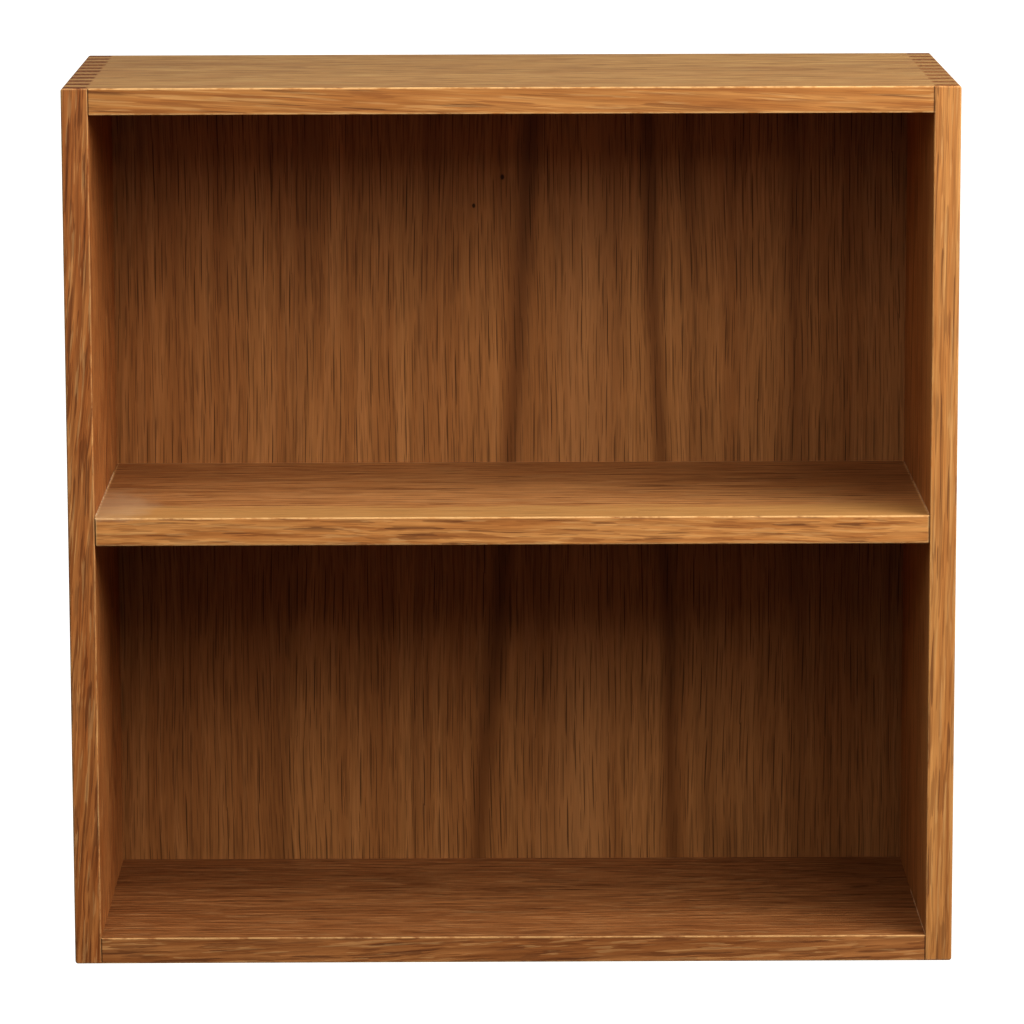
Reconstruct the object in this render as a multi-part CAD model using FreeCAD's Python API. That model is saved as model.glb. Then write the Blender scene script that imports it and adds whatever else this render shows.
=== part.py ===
"""Wall mounted showcase: an open, square oak case with one middle shelf.

The four case boards are joined at the corners with box (finger) joints. A veneered back panel
stands in a stopped groove in all four. The shelf is glued and dowelled between the sides. In the
recess behind the panel a dowelled rail carries two keyhole plates, which hang on two wall screws.

Frame, in millimetres: X runs across the front, +Y into the wall and +Z up. The origin is on the
wall plane, midway between the entry holes of the two keyhole plates.
"""

import FreeCAD, Part  # FreeCAD has to come first

import os

from FreeCAD import Vector

# ---- the case ----
case_width = 500.0
case_height = 500.0
case_depth = 210.0
board_thickness = 15.0
corner_round = 1.6  # radius of the four long outer corners, which run front to back
face_round = 1.0  # radius of the arrises around the front and the rear of the case
inner_ease = 0.6  # radius of the front arrises that face the compartments
shoulder_ease = 0.35  # radius of the end arrises at the front of the top and bottom boards

# ---- the box joints ----
finger_count = 21  # fingers and gaps along one corner; odd, so a side finger is at each end

# ---- the back panel and its groove ----
panel_thickness = 6.0
panel_inset = 14.0  # from the rear of the case to the panel's rear face
groove_depth = 6.0
panel_edge_play = 0.5  # between each panel edge and the bottom of its groove
panel_rear_play = 0.2  # between the panel's rear face and the groove's rear cheek

# ---- the middle shelf ----
shelf_thickness = 16.0
shelf_ease = 1.0  # radius of the shelf's upper and lower front arrises
shelf_corner_ease = 0.4  # radius of the upright arrises at the shelf's front corners
shelf_under_ease = 1.2  # radius of the arrises under the shelf's two ends
shelf_end_gap = 0.3  # glue gap at each end of the shelf

# ---- the dowels of the shelf ----
shelf_dowel_diameter = 8.0
shelf_dowel_length = 30.0
shelf_dowel_edge = 35.0  # from the shelf's front and rear edges to the outer dowels
dowel_chamfer = 0.8
dowel_end_play = 0.5  # air at each end of a dowel
dowel_wall_left = 5.0  # side board left standing behind a dowel hole

# ---- the hanging rail ----
rail_margin = 3.0  # of the rail above and below the keyhole plates
rail_ease = 0.8  # radius of the rail's lower rear arris
rail_dowel_diameter = 6.0
rail_dowel_length = 25.0
rail_dowel_edge = 11.0  # from the rail's upper and lower edges to its dowels

# ---- the keyhole plates ----
plate_spacing = 320.0  # between the two keyholes, which is the spacing of the wall screws
plate_width = 18.0
plate_thickness = 1.6
plate_corner = 4.0
entry_diameter = 9.0  # lets the head of the wall screw in
slot_width = 4.5  # holds the shank of the wall screw
slot_rise = 12.0  # from the entry's centre up to the centre of the slot's end
pocket_depth = 7.0  # room for the screw head behind the plate
pocket_side_play = 0.8  # around the head as it slides up the slot

# ---- the screws of the keyhole plates ----
screw_edge = 5.0  # from each end of the plate to its screw
screw_clear = 11.0  # from the screws to the entry's centre below and the slot's end above
screw_head_diameter = 5.6
screw_shank_diameter = 3.0
screw_tip_cover = 2.5  # of the rail left in front of the screws' tips
screw_tip_length = 3.0
screw_tip_diameter = 0.6
drive_span = 3.0  # end to end of the cross in the head
drive_width = 0.7
drive_depth = 0.9

X = Vector(1, 0, 0)
Y = Vector(0, 1, 0)
Z = Vector(0, 0, 1)
tiny = 1e-6  # below this, two places count as the same

# ---- worked out from the sizes above ----
half_width = case_width / 2
inner_half_width = half_width - board_thickness
front_y = -case_depth
panel_rear_y = -panel_inset
panel_front_y = panel_rear_y - panel_thickness
plate_height = 2 * (screw_edge + screw_clear) + slot_rise
rail_height = plate_height + 2 * rail_margin
rail_z = slot_rise / 2
inner_top_z = rail_z + rail_height / 2
top_z = inner_top_z + board_thickness
bottom_z = top_z - case_height
inner_bottom_z = bottom_z + board_thickness
top_span = (inner_top_z, top_z)
bottom_span = (bottom_z, inner_bottom_z)
shelf_z = (inner_top_z + inner_bottom_z) / 2
finger_pitch = case_depth / finger_count
side_hole_depth = board_thickness - dowel_wall_left
screw_head_height = (screw_head_diameter - screw_shank_diameter) / 2
screw_length = panel_inset - screw_tip_cover


def block(x_span, y_span, z_span):
    """A box between two values on each axis."""
    size = [high - low for low, high in (x_span, y_span, z_span)]
    return Part.makeBox(*size, Vector(x_span[0], y_span[0], z_span[0]))


def is_along(edge, axis):
    """True for a straight edge that runs along an axis given as a Vector."""
    start, end = edge.Vertexes[0].Point, edge.Vertexes[-1].Point
    run = end - start
    return run.Length > 0 and abs(abs(run.normalize().dot(axis)) - 1) < tiny


def edges_through(shape, points, axis):
    """The straight edges along an axis whose line passes through one of the given points."""
    found = []
    for edge in shape.Edges:
        if not is_along(edge, axis):
            continue
        for point in points:
            offset = edge.Vertexes[0].Point - point
            across = offset - axis * offset.dot(axis)
            if across.Length < tiny:
                found.append(edge)
    return found


def rounded(shape, radius, points, axis):
    """The shape with its arrises through the given points, along one axis, rounded."""
    return shape.makeFillet(radius, edges_through(shape, points, axis))


def eased_block(spans, eases):
    """A box with groups of arrises rounded, each given as (radius, points, axis).

    Each group is rounded on a box of its own, and the boxes' common part is kept, so that round
    arrises of different sizes meet in a mitre.
    """
    eased = block(*spans)
    for ease in eases:
        eased = eased.common(rounded(block(*spans), *ease))
    return eased


# ---- the case boards ----
def case_envelope():
    """The outside of the glued-up case, as it is sanded: round corners and eased faces."""
    envelope = block((-half_width, half_width), (front_y, 0), (bottom_z, top_z))
    corners = [Vector(x, 0, z) for x in (-half_width, half_width) for z in (bottom_z, top_z)]
    envelope = rounded(envelope, corner_round, corners, Y)
    face_edges = []
    for edge in envelope.Edges:
        depths = [vertex.Point.y for vertex in edge.Vertexes]
        if max(depths) - min(depths) < tiny:
            face_edges.append(edge)
    return envelope.makeFillet(face_round, face_edges)


def flat_board_fingers(sign, z_span):
    """The fingers that a flat board passes through one side board.

    sign is -1 for the left side and +1 for the right one. The corner is divided into equal
    blocks from front to rear. The first, the last and every other one belong to the side board,
    and the ones between them to the top or bottom board.
    """
    x_span = sorted((sign * inner_half_width, sign * half_width))
    fingers = []
    for index in range(1, finger_count, 2):
        y_span = (front_y + index * finger_pitch, front_y + (index + 1) * finger_pitch)
        fingers.append(block(x_span, y_span, z_span))
    return fingers


def panel_groove():
    """The stopped groove around the back panel, as one flat block cut from all four boards."""
    reach = groove_depth
    return block(
        (-inner_half_width - reach, inner_half_width + reach),
        (panel_front_y, panel_rear_y + panel_rear_play),
        (inner_bottom_z - reach, inner_top_z + reach),
    )


def dowel_holes(sign):
    """The blind dowel holes in one side board: three for the shelf and two for the rail."""
    start = sign * inner_half_width
    outwards = X * sign
    holes = []
    for y in shelf_dowel_places().values():
        place = Vector(start, y, shelf_z)
        holes.append(Part.makeCylinder(shelf_dowel_diameter / 2, side_hole_depth, place, outwards))
    for z in rail_dowel_places().values():
        place = Vector(start, -panel_inset / 2, z)
        holes.append(Part.makeCylinder(rail_dowel_diameter / 2, side_hole_depth, place, outwards))
    return holes


def side_board(sign):
    """One upright side board, with a comb of fingers at its top and bottom ends."""
    x_span = sorted((sign * inner_half_width, sign * half_width))
    inner_front = [Vector(sign * inner_half_width, front_y, 0)]
    spans = (x_span, (front_y, 0), (bottom_z, top_z))
    board = eased_block(spans, [(inner_ease, inner_front, Z)])
    for z_span in (top_span, bottom_span):
        board = board.cut(flat_board_fingers(sign, z_span))
    board = board.cut([panel_groove()] + dowel_holes(sign))
    return board.common(case_envelope())


def flat_board(z_span, inner_z):
    """The top or the bottom board, with a comb of fingers at both ends."""
    shoulders = (-inner_half_width, inner_half_width)
    eases = [
        (inner_ease, [Vector(0, front_y, inner_z)], X),
        (shoulder_ease, [Vector(x, front_y, 0) for x in shoulders], Z),
    ]
    board = eased_block((shoulders, (front_y, 0), z_span), eases)
    for sign in (-1, 1):
        board = board.fuse(flat_board_fingers(sign, z_span))
    return board.cut(panel_groove()).common(case_envelope())


# ---- the back panel ----
def back_panel():
    """The veneered back panel, which fills its groove but for the play at its edges."""
    reach = groove_depth - panel_edge_play
    return block(
        (-inner_half_width - reach, inner_half_width + reach),
        (panel_front_y, panel_rear_y),
        (inner_bottom_z - reach, inner_top_z + reach),
    )


# ---- the shelf and its dowels ----
def shelf_dowel_places():
    """The Y places of the shelf's dowels, by name."""
    front = front_y + shelf_dowel_edge
    rear = panel_front_y - shelf_dowel_edge
    return {"front": front, "middle": (front + rear) / 2, "rear": rear}


def dowel(diameter, length, hole_depth, sign, y, z):
    """A dowel with chamfered ends, across the joint between a side board and another piece."""
    outer_end = sign * (inner_half_width + hole_depth - dowel_end_play)
    inwards = X * -sign
    pin = Part.makeCylinder(diameter / 2, length, Vector(outer_end, y, z), inwards)
    rims = [edge for edge in pin.Edges if edge.Closed]
    return pin.makeChamfer(dowel_chamfer, rims)


def inner_dowel_hole(diameter, length, sign, y, z):
    """The hole in the end of a shelf or rail for the rest of a dowel's length."""
    depth = length - (side_hole_depth - dowel_end_play) + dowel_end_play
    start = Vector(sign * inner_half_width, y, z)
    return Part.makeCylinder(diameter / 2, depth, start, X * -sign)


def middle_shelf():
    """The shelf: flush with the front of the case, and against the back panel behind."""
    half_length = inner_half_width - shelf_end_gap
    low, high = shelf_z - shelf_thickness / 2, shelf_z + shelf_thickness / 2
    ends = (-half_length, half_length)
    eases = [
        (shelf_ease, [Vector(0, front_y, z) for z in (low, high)], X),
        (shelf_under_ease, [Vector(x, 0, low) for x in ends], Y),
        (shelf_corner_ease, [Vector(x, front_y, 0) for x in ends], Z),
    ]
    shelf = eased_block((ends, (front_y, panel_front_y), (low, high)), eases)
    holes = []
    for sign in (-1, 1):
        for y in shelf_dowel_places().values():
            holes.append(inner_dowel_hole(shelf_dowel_diameter, shelf_dowel_length, sign, y, shelf_z))
    return shelf.cut(holes)


# ---- the hanging rail and its dowels ----
def rail_dowel_places():
    """The Z places of the rail's dowels, by name."""
    reach = rail_height / 2 - rail_dowel_edge
    return {"upper": rail_z + reach, "lower": rail_z - reach}


def plate_places():
    """The X places of the keyhole plates, by name."""
    return {"left": -plate_spacing / 2, "right": plate_spacing / 2}


def upright_slot(width, z_low, z_high, y_span, x):
    """A slot with round ends that stands upright, between the centres of its two ends."""
    depth = y_span[1] - y_span[0]
    body = block((x - width / 2, x + width / 2), y_span, (z_low, z_high))
    ends = []
    for z in (z_low, z_high):
        ends.append(Part.makeCylinder(width / 2, depth, Vector(x, y_span[0], z), Y))
    return body.fuse(ends)


def plate_outline(x, y_span):
    """The plate's outer block, with its four corners rounded."""
    sides = (x - plate_width / 2, x + plate_width / 2)
    ends = (rail_z - plate_height / 2, rail_z + plate_height / 2)
    plate = block(sides, y_span, ends)
    corners = [Vector(side, 0, end) for side in sides for end in ends]
    return rounded(plate, plate_corner, corners, Y)


def screw_places(x):
    """The two screws of one plate, by name, on the rear face."""
    reach = plate_height / 2 - screw_edge
    return {"upper": Vector(x, 0, rail_z + reach), "lower": Vector(x, 0, rail_z - reach)}


def head_cone(place):
    """The countersink of a plate, and the head of the screw that fills it."""
    return Part.makeCone(
        screw_head_diameter / 2, screw_shank_diameter / 2, screw_head_height, place, Y * -1
    )


def shank(place):
    """The shank of a plate screw below its head, and the pilot hole that it cuts."""
    start = place - Y * screw_head_height
    straight = screw_length - screw_head_height - screw_tip_length
    body = Part.makeCylinder(screw_shank_diameter / 2, straight, start, Y * -1)
    tip_start = start - Y * straight
    tip = Part.makeCone(
        screw_shank_diameter / 2, screw_tip_diameter / 2, screw_tip_length, tip_start, Y * -1
    )
    return body.fuse(tip)


def hanging_rail():
    """The rail behind the panel: it fills the recess, and the keyhole plates are let into it."""
    rail = block(
        (-inner_half_width, inner_half_width),
        (panel_rear_y, 0),
        (rail_z - rail_height / 2, rail_z + rail_height / 2),
    )
    rail = rounded(rail, rail_ease, [Vector(0, 0, rail_z - rail_height / 2)], X)
    cuts = []
    for x in plate_places().values():
        cuts.append(plate_outline(x, (-plate_thickness, 0)))
        pocket_width = entry_diameter + 2 * pocket_side_play
        pocket_rear = -plate_thickness - pocket_depth
        cuts.append(upright_slot(pocket_width, 0, slot_rise, (pocket_rear, 0), x))
        for place in screw_places(x).values():
            cuts.append(shank(place))
    for sign in (-1, 1):
        for z in rail_dowel_places().values():
            y = -panel_inset / 2
            cuts.append(inner_dowel_hole(rail_dowel_diameter, rail_dowel_length, sign, y, z))
    return rail.cut(cuts)


# ---- the keyhole plates and their screws ----
def keyhole_plate(x):
    """A flat steel plate with an entry hole, a narrow slot above it and two countersunk holes."""
    through = (-plate_thickness, 0)
    plate = plate_outline(x, through)
    entry = Part.makeCylinder(entry_diameter / 2, plate_thickness, Vector(x, through[0], 0), Y)
    cuts = [entry, upright_slot(slot_width, 0, slot_rise, through, x)]
    for place in screw_places(x).values():
        cuts.append(head_cone(place))
        cuts.append(shank(place))
    return plate.cut(cuts)


def plate_screw(place):
    """A countersunk wood screw with a cross recess in its head."""
    screw = head_cone(place).fuse(shank(place)).removeSplitter()
    y_span = (place.y - drive_depth, place.y)
    arms = []
    for long_x, long_z in ((drive_span, drive_width), (drive_width, drive_span)):
        x_span = (place.x - long_x / 2, place.x + long_x / 2)
        z_span = (place.z - long_z / 2, place.z + long_z / 2)
        arms.append(block(x_span, y_span, z_span))
    return screw.cut(arms)


def all_pieces():
    """Every piece of the showcase, by the name of its node."""
    pieces = {
        "left_side": side_board(-1),
        "right_side": side_board(1),
        "top_board": flat_board(top_span, inner_top_z),
        "bottom_board": flat_board(bottom_span, inner_bottom_z),
        "back_panel": back_panel(),
        "middle_shelf": middle_shelf(),
        "hanging_rail": hanging_rail(),
    }
    for side, sign in (("left", -1), ("right", 1)):
        for name, y in shelf_dowel_places().items():
            pieces[f"shelf_dowel_{side}_{name}"] = dowel(
                shelf_dowel_diameter, shelf_dowel_length, side_hole_depth, sign, y, shelf_z
            )
        for name, z in rail_dowel_places().items():
            pieces[f"rail_dowel_{side}_{name}"] = dowel(
                rail_dowel_diameter, rail_dowel_length, side_hole_depth, sign, -panel_inset / 2, z
            )
    for side, x in plate_places().items():
        pieces[f"keyhole_plate_{side}"] = keyhole_plate(x)
        for name, place in screw_places(x).items():
            pieces[f"plate_screw_{side}_{name}"] = plate_screw(place)
    return pieces


def write_pieces():
    """Writes one STEP file per piece."""
    os.makedirs("parts", exist_ok=True)
    for name, shape in all_pieces().items():
        solids = shape.Solids
        if len(solids) != 1 or not shape.isValid():
            raise ValueError(f"{name}: {len(solids)} solids, valid {shape.isValid()}")
        solids[0].exportStep(f"parts/{name}.step")
        print(f"{name}: {solids[0].Volume / 1000:.2f} cm3")


write_pieces()
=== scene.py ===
"""Wall mounted showcase: the finish of an open, square oak case with one middle shelf.

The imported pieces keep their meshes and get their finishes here. The dowels and the plate screws
are replaced by fluted and threaded ones, and the glue lines at the shelf and at the bottom board
are added. Everything is in metres: X across the front, +Y into the wall and +Z up.
"""

import logging
import math
from collections.abc import Callable
from dataclasses import dataclass
from enum import Enum

import bpy
import numpy as np
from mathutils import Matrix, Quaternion, Vector


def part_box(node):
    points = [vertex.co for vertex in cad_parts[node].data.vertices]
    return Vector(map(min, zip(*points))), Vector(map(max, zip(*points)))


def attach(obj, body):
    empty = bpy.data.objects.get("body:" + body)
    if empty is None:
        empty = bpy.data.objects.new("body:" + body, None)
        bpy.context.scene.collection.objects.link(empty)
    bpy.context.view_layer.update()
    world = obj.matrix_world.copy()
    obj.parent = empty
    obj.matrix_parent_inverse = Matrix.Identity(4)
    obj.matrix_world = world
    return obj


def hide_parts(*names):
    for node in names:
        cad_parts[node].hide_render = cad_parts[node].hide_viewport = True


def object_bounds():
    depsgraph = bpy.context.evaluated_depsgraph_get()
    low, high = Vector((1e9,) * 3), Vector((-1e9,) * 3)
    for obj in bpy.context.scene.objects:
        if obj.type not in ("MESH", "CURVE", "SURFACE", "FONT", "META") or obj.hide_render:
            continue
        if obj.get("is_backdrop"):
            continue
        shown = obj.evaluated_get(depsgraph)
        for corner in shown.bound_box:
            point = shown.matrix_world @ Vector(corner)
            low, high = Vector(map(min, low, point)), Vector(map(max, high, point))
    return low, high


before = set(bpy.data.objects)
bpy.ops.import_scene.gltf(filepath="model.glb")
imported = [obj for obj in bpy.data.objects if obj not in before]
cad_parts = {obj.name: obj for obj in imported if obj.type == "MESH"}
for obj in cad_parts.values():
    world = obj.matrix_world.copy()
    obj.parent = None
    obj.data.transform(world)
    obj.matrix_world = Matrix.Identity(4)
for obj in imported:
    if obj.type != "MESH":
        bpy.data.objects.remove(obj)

log = logging.getLogger("showcase")

Point = tuple[float, float, float]
Colour = tuple[float, float, float]
Box = tuple[Point, Point]
Range = tuple[float, float]
Input = bpy.types.NodeSocket | float | tuple | list | None

MILLIMETRE = 0.001
FULL_TURN = 2 * math.pi
WOOD_SPECULAR = 0.22  # oiled wood reflects less than a varnished one
WOOD_RELIEF = 0.0002  # height of the open grain, in metres


class Axis(Enum):
    """The way that the grain of a board runs."""

    X = 0
    Y = 1
    Z = 2


# ---- materials ----
class Graph:
    """A node tree, with one short method for each kind of node that the finishes use."""

    def __init__(self, tree: bpy.types.NodeTree) -> None:
        """Empties the tree.

        Args:
            tree: The node tree of a material or of the world.
        """
        self.tree = tree
        tree.nodes.clear()

    def add(self, kind: str, inputs: dict | None = None, **settings: object) -> bpy.types.Node:
        """Adds a node.

        Args:
            kind: The node's type name.
            inputs: Sockets to link, or values to set, by input name or number.
            settings: Properties of the node.

        Returns:
            The new node.
        """
        node = self.tree.nodes.new(kind)
        for name, value in settings.items():
            setattr(node, name, value)
        for name, value in (inputs or {}).items():
            self.feed(node.inputs[name], value)
        return node

    def feed(self, socket: bpy.types.NodeSocket, value: Input) -> None:
        """Links a socket, or sets its value.

        Args:
            socket: The input to feed.
            value: An output socket, a plain value, or None to leave the input as it is.
        """
        if isinstance(value, bpy.types.NodeSocket):
            self.tree.links.new(value, socket)
        elif value is not None:
            socket.default_value = value

    def math(self, operation: str, *values: Input) -> bpy.types.NodeSocket:
        """One sum on numbers.

        Args:
            operation: The Math node's operation.
            values: Its inputs, in order.

        Returns:
            The result.
        """
        node = self.add("ShaderNodeMath", operation=operation)
        for socket, value in zip(node.inputs, values):
            self.feed(socket, value)
        return node.outputs[0]

    def vector(self, operation: str, *values: Input) -> bpy.types.NodeSocket:
        """One sum on vectors.

        Args:
            operation: The Vector Math node's operation.
            values: Its inputs, in order.

        Returns:
            The resulting vector.
        """
        node = self.add("ShaderNodeVectorMath", operation=operation)
        for socket, value in zip(node.inputs, values):
            self.feed(socket, value)
        return node.outputs["Value" if operation in ("LENGTH", "DOT_PRODUCT") else "Vector"]

    def split(self, vector: Input) -> list[bpy.types.NodeSocket]:
        """The three parts of a vector."""
        return list(self.add("ShaderNodeSeparateXYZ", {0: vector}).outputs)

    def join(self, x: Input, y: Input, z: Input) -> bpy.types.NodeSocket:
        """A vector from its three parts."""
        return self.add("ShaderNodeCombineXYZ", {0: x, 1: y, 2: z}).outputs[0]

    def step(self, value: Input, low: float, high: float) -> bpy.types.NodeSocket:
        """A smooth step: 0 at low, 1 at high, and level beyond both."""
        inputs = {"Value": value, "From Min": low, "From Max": high}
        return self.add("ShaderNodeMapRange", inputs, interpolation_type="SMOOTHSTEP").outputs[0]

    def span(self, value: Input, to_low: Input, to_high: Input) -> bpy.types.NodeSocket:
        """A value from 0 to 1 spread between two others."""
        inputs = {"Value": value, "To Min": to_low, "To Max": to_high}
        return self.add("ShaderNodeMapRange", inputs).outputs[0]

    def noise(
        self, vector: Input, scale: float, detail: float = 2.0, roughness: float = 0.5
    ) -> bpy.types.Node:
        """A noise texture.

        Args:
            vector: Where it is read.
            scale: Waves per unit of the vector.
            detail: Finer layers on top of the first.
            roughness: The share that each finer layer keeps.

        Returns:
            The node, whose outputs are Fac and Color.
        """
        inputs = {"Vector": vector, "Scale": scale, "Detail": detail, "Roughness": roughness}
        return self.add("ShaderNodeTexNoise", inputs)

    def blend(
        self, share: Input, first: Input, second: Input, mode: str = "MIX"
    ) -> bpy.types.NodeSocket:
        """Two colours mixed.

        Args:
            share: How much of the second one, 0 to 1.
            first: The first colour.
            second: The second colour.
            mode: The Mix node's blend type.

        Returns:
            The mixed colour.
        """
        node = self.add("ShaderNodeMix", data_type="RGBA", blend_type=mode)
        for index, value in ((0, share), (6, first), (7, second)):
            if isinstance(value, tuple):
                value = (*value, 1.0)
            self.feed(node.inputs[index], value)
        return node.outputs[2]

    def bump(self, height: Input, strength: float, distance: float) -> bpy.types.NodeSocket:
        """A normal from a height of 0 to 1 that stands for the given distance in metres."""
        inputs = {"Height": height, "Strength": strength, "Distance": distance}
        return self.add("ShaderNodeBump", inputs).outputs[0]

    def object_place(self) -> bpy.types.NodeSocket:
        """Object coordinates, which are the part's own metres."""
        return self.add("ShaderNodeTexCoord").outputs["Object"]

    def facing(self) -> bpy.types.NodeSocket:
        """The surface's own normal, in the part's frame."""
        return self.add("ShaderNodeTexCoord").outputs["Normal"]


def new_material(name: str) -> tuple[bpy.types.Material, Graph]:
    """An empty node material.

    Args:
        name: Its name.

    Returns:
        The material and the graph to fill.
    """
    material = bpy.data.materials.new(name)
    material.use_nodes = True
    return material, Graph(material.node_tree)


def close_material(graph: Graph, shader: bpy.types.Node) -> None:
    """Links a shader to the material's output."""
    graph.add("ShaderNodeOutputMaterial", {"Surface": shader.outputs[0]})


def arris_wear_and_highlight(graph: Graph, place: Input, box: Box, low: float, high: float) -> Input:
    """How worn a board is near its arrises, which is also where a painted highlight goes.

    The distances from a point to the nearest face on each axis are sorted. On a face the smallest
    one is nothing, so the middle one is the distance from the nearest arris.

    Args:
        graph: The material's graph.
        place: The point, in metres.
        box: The board's lowest and highest corners.
        low: Distance up to which the arris is fully worn and lit.
        high: Distance from which it is neither worn nor lit.

    Returns:
        1 on an arris, falling to 0 inside a face.
    """
    centre = tuple((a + b) / 2 for a, b in zip(*box))
    half = tuple((b - a) / 2 for a, b in zip(*box))
    offset = graph.vector("ABSOLUTE", graph.vector("SUBTRACT", place, centre))
    x, y, z = graph.split(graph.vector("SUBTRACT", half, offset))
    lesser = graph.math("MINIMUM", x, y)
    greater = graph.math("MAXIMUM", x, y)
    middle = graph.math("MAXIMUM", lesser, graph.math("MINIMUM", greater, z))
    return graph.step(middle, high, low)


@dataclass(frozen=True)
class Layer:
    """Noise in strokes along the grain of a wood."""

    width: float  # of one wave across the grain, in metres
    ratio: float  # how much longer than wide the strokes are
    detail: float = 2.0  # finer layers on top
    roughness: float = 0.55  # the share that each finer layer keeps

    def read(self, graph: Graph, place: Input) -> Input:
        """The noise at a place whose part along the grain is already divided by the ratio."""
        return graph.noise(place, 1 / self.width, self.detail, self.roughness).outputs["Fac"]


@dataclass(frozen=True)
class WoodPattern:
    """What the finish of a solid board is mixed from, at one point of the wood."""

    place: Input  # in the part's frame
    grain: list[Input]  # across, through and along the grain
    early: Input  # 1 in early wood, 0 in late wood
    tone: Input  # slow changes of colour
    stroke: Input  # strokes a few millimetres wide
    fibre: Input  # the finest threads
    pores: Input  # 1 in an open vessel


@dataclass(frozen=True)
class Oak:
    """Oiled solid oak, as a solid pattern, so that faces, edges and end grain agree.

    Growth rings are cylinders around a pith that lies outside the board, bent by slow noise.
    Pores, streaks and fibres are noise stretched along the grain.
    """

    name: str
    along: Axis
    log_place: Point  # shifts the pattern, so that no two boards match
    pith: tuple[float, float] = (0.11, 0.02)  # across and through, from the board's middle
    ring: float = 0.0034  # width of one year
    lean: float = 0.045  # slope of the grain against the board's length
    sway: float = 0.0045  # how far the grain wanders sideways
    pale: Colour = (0.590, 0.274, 0.086)
    amber: Colour = (0.470, 0.188, 0.051)
    brown: Colour = (0.225, 0.071, 0.018)
    pore: Colour = (0.110, 0.035, 0.010)
    rubbed: Colour = (0.72, 0.43, 0.18)  # where the oil has worn off an arris, with a painted highlight on it; also the flecks
    sap: Colour = (0.50, 0.275, 0.090)
    joint_shadow: Colour = (0.02, 0.008, 0.003)
    upper_face_sheen_and_shade: Colour = (1.0, 1.0, 1.0)  # tint of the face that looks up: a painted sheen that greys the top board, painted shade on the shelf and the bottom board
    figure: float = 1.0  # strength and number of the streaks
    stretch: float = 1.0  # how much longer than usual the streaks are
    wear_and_highlight: float = 0.8  # how much the arrises are lightened: oil worn off, and a painted highlight
    sapwood: float = 0.0  # width of the paler strip along the front of the upper face
    gloss: float = 0.5  # roughness of the oiled face
    end_shade: float = 0.5  # how much darker oil makes the end grain
    joint: float = 0.0  # half the distance between the two joint lines in the front edge

    tone_layer: Layer = Layer(0.045, 7.0)
    stroke_layer: Layer = Layer(0.0036, 16.0, 3.0)
    streak_layer: Layer = Layer(0.0017, 18.0)
    pore_layer: Layer = Layer(0.0021, 19.0, 1.0)
    fleck_layer: Layer = Layer(0.0018, 15.0)
    fibre_layer: Layer = Layer(0.0008, 24.0, 1.0)
    ring_layer: Layer = Layer(0.012, 12.0, 1.0)

    year_range: Range = (0.62, 0.05)  # share of the year at which late and early wood begin
    year_share: float = 0.3  # how brown the early wood is
    pale_range: Range = (0.56, 0.9)  # of the strokes, from amber to pale
    streak_start: float = 0.6  # of the streak layer, in a board without figure
    streak_drop: float = 0.04  # how much lower it starts at figure 1
    streak_edge: float = 0.045  # softness of a streak's edge
    streak_share: float = 0.46  # how brown a streak is at figure 1
    pore_range: Range = (0.595, 0.625)
    pore_share: Range = (0.3, 0.62)  # depth of the pores in late and in early wood
    fleck_range: Range = (0.58, 0.63)
    fleck_share: float = 0.24  # how light the flecks are
    tone_shade: Range = (0.84, 1.16)
    fibre_shade: Range = (-0.26, 0.26)
    end_range: Range = (0.55, 0.85)  # of the normal along the grain, where end grain begins
    up_range: Range = (0.5, 0.9)  # of the normal upwards, where the upper face begins
    sap_share: float = 0.55
    arris: Range = (0.0003, 0.0013)  # fully worn and lit up to the first, plain from the second, in metres
    chip_range: Range = (0.28, 0.58)  # breaks the wear and the painted highlight up along the arris
    joint_line: Range = (0.0008, 0.0002)  # where the joint's shadow begins and is full, in metres
    joint_depth: float = 0.9  # how dark that shadow is
    gloss_spread: float = 0.07  # how much the roughness differs from stroke to stroke
    pore_dullness: float = 0.2  # added to the roughness in a pore
    end_dullness: float = 0.15  # and on end grain

    def grain_place(self, graph: Graph, place: Input, box: Box) -> list[Input]:
        """The place across, through and along the grain, swayed as the tree grew.

        Args:
            graph: The material's graph.
            place: The point in the part's frame.
            box: The board's lowest and highest corners.

        Returns:
            Three numbers in metres.
        """
        centre = tuple((a + b) / 2 for a, b in zip(*box))
        x, y, z = graph.split(graph.vector("SUBTRACT", place, centre))
        order = {Axis.X: (z, y, x), Axis.Y: (x, z, y), Axis.Z: (x, y, z)}
        across, through, along = order[self.along]
        slow = graph.join(across, through, graph.math("MULTIPLY", along, 0.3))
        slow = graph.vector("ADD", slow, self.log_place)
        sway = graph.noise(slow, 15.0, 3.0, 0.5).outputs["Color"]
        sway_across, sway_through, _ = graph.split(graph.vector("SUBTRACT", sway, (0.5,) * 3))
        rise = graph.math("MULTIPLY", along, self.lean)
        across = graph.math("ADD", across, rise)
        across = graph.math("MULTIPLY_ADD", sway_across, self.sway * 2, across)
        through = graph.math("MULTIPLY_ADD", sway_through, self.sway * 2, through)
        return [across, through, along]

    def stretched(self, graph: Graph, grain: list[Input], layer: Layer) -> Input:
        """Noise in strokes along this board's grain.

        Args:
            graph: The material's graph.
            grain: The place across, through and along the grain.
            layer: The strokes' sizes.

        Returns:
            The noise, around 0.5.
        """
        across, through, along = grain
        along = graph.math("DIVIDE", along, layer.ratio * self.stretch)
        place = graph.vector("ADD", graph.join(across, through, along), self.log_place)
        return layer.read(graph, place)

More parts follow.
